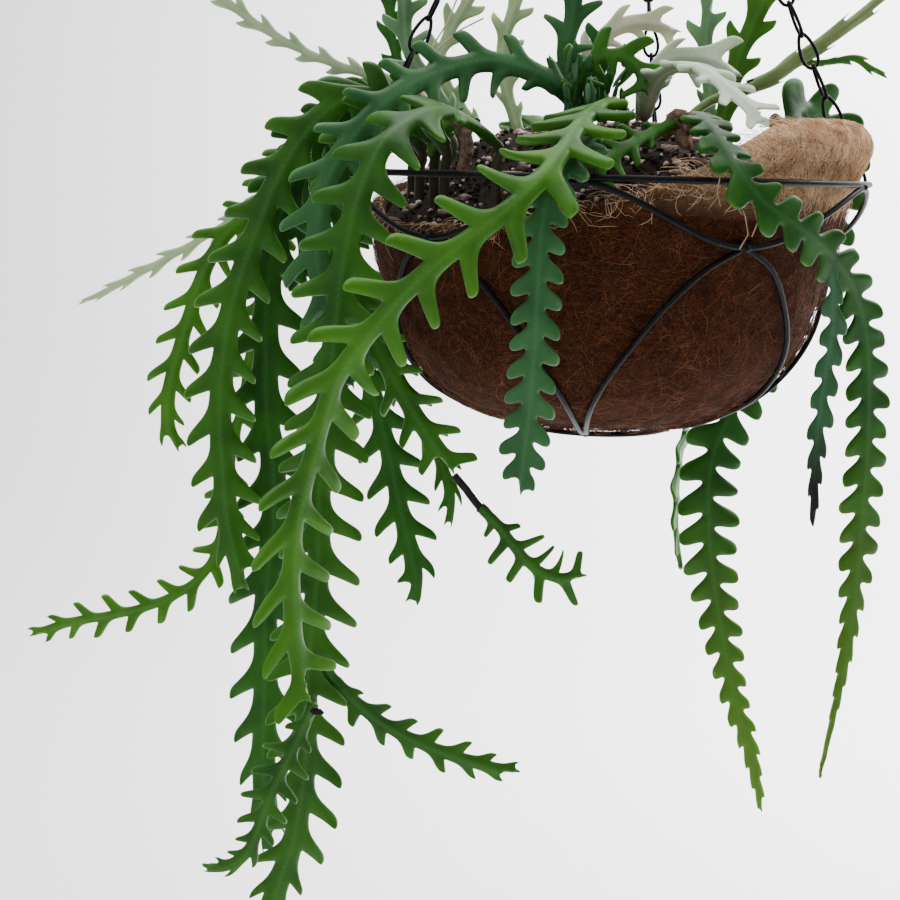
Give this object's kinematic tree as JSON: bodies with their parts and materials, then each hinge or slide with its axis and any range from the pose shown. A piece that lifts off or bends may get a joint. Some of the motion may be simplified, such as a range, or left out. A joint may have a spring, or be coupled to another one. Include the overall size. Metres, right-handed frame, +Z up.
{
  "type": "fishbone cactus",
  "caption": "Fishbone cactus with long zigzag lobed stems spilling over a wire basket lined with coir, hung on chains from a hook.",
  "frame": {"origin": "the inside top of the hook's upper bend, where it bears on a bracket", "axes": "+Z up, towards the bracket; +Y away from the viewer; +X to the viewer's right, in the plane of the hook"},
  "size_m": [0.6269, 0.4606, 0.9217],
  "materials": {
    "black_wire": "black plastic-coated wire, slightly glossy",
    "chain_steel": "black coated steel wire, slightly glossy",
    "coir": "matted coconut fibre, red-brown, tan where it is dry",
    "soil": "dark moist peat with bark chips and white perlite",
    "stem_deep": "deep green succulent stem, waxy",
    "stem_mid": "mid green succulent stem, waxy",
    "stem_fresh": "bright green succulent stem with yellow-green tips, waxy",
    "stem_blue": "blue-green succulent stem, waxy",
    "stem_grey": "grey-green succulent stem, waxy",
    "stem_pale": "pale green new growth, waxy",
    "stem_dry": "beige dried stem, dull"
  },
  "bodies": {
    "root": {"chain_back": "chain_steel", "chain_right": "chain_steel", "chain_left": "chain_steel", "hook": "chain_steel", "wire_basket": "black_wire", "coir_liner": "coir", "soil": "soil", "stem_back": "stem_mid", "stem_front_centre": "stem_blue", "stem_front_long": "stem_fresh", "stem_left_far_down": "stem_mid", "stem_left_hidden": "stem_deep", "stem_left_inner": "stem_mid", "stem_left_long": "stem_deep", "stem_left_out": "stem_mid", "stem_left_outer": "stem_mid", "stem_left_short": "stem_mid", "stem_left_thin": "stem_pale", "stem_left_upper": "stem_mid", "stem_left_wide_fork": "stem_blue", "stem_right_back": "stem_deep", "stem_right_back_edge": "stem_deep", "stem_right_front": "stem_blue", "stem_top_arch": "stem_grey", "stem_top_back": "stem_grey", "stem_top_bright": "stem_fresh", "stem_top_centre": "stem_blue", "stem_top_dark": "stem_deep", "stem_top_dry": "stem_dry", "stem_top_far_left": "stem_pale", "stem_top_grey": "stem_grey", "stem_top_left": "stem_grey", "stem_top_pale_a": "stem_pale", "stem_top_pale_b": "stem_pale", "stem_top_right": "stem_mid", "stem_top_small": "stem_blue"}
  },
  "joints": []
}
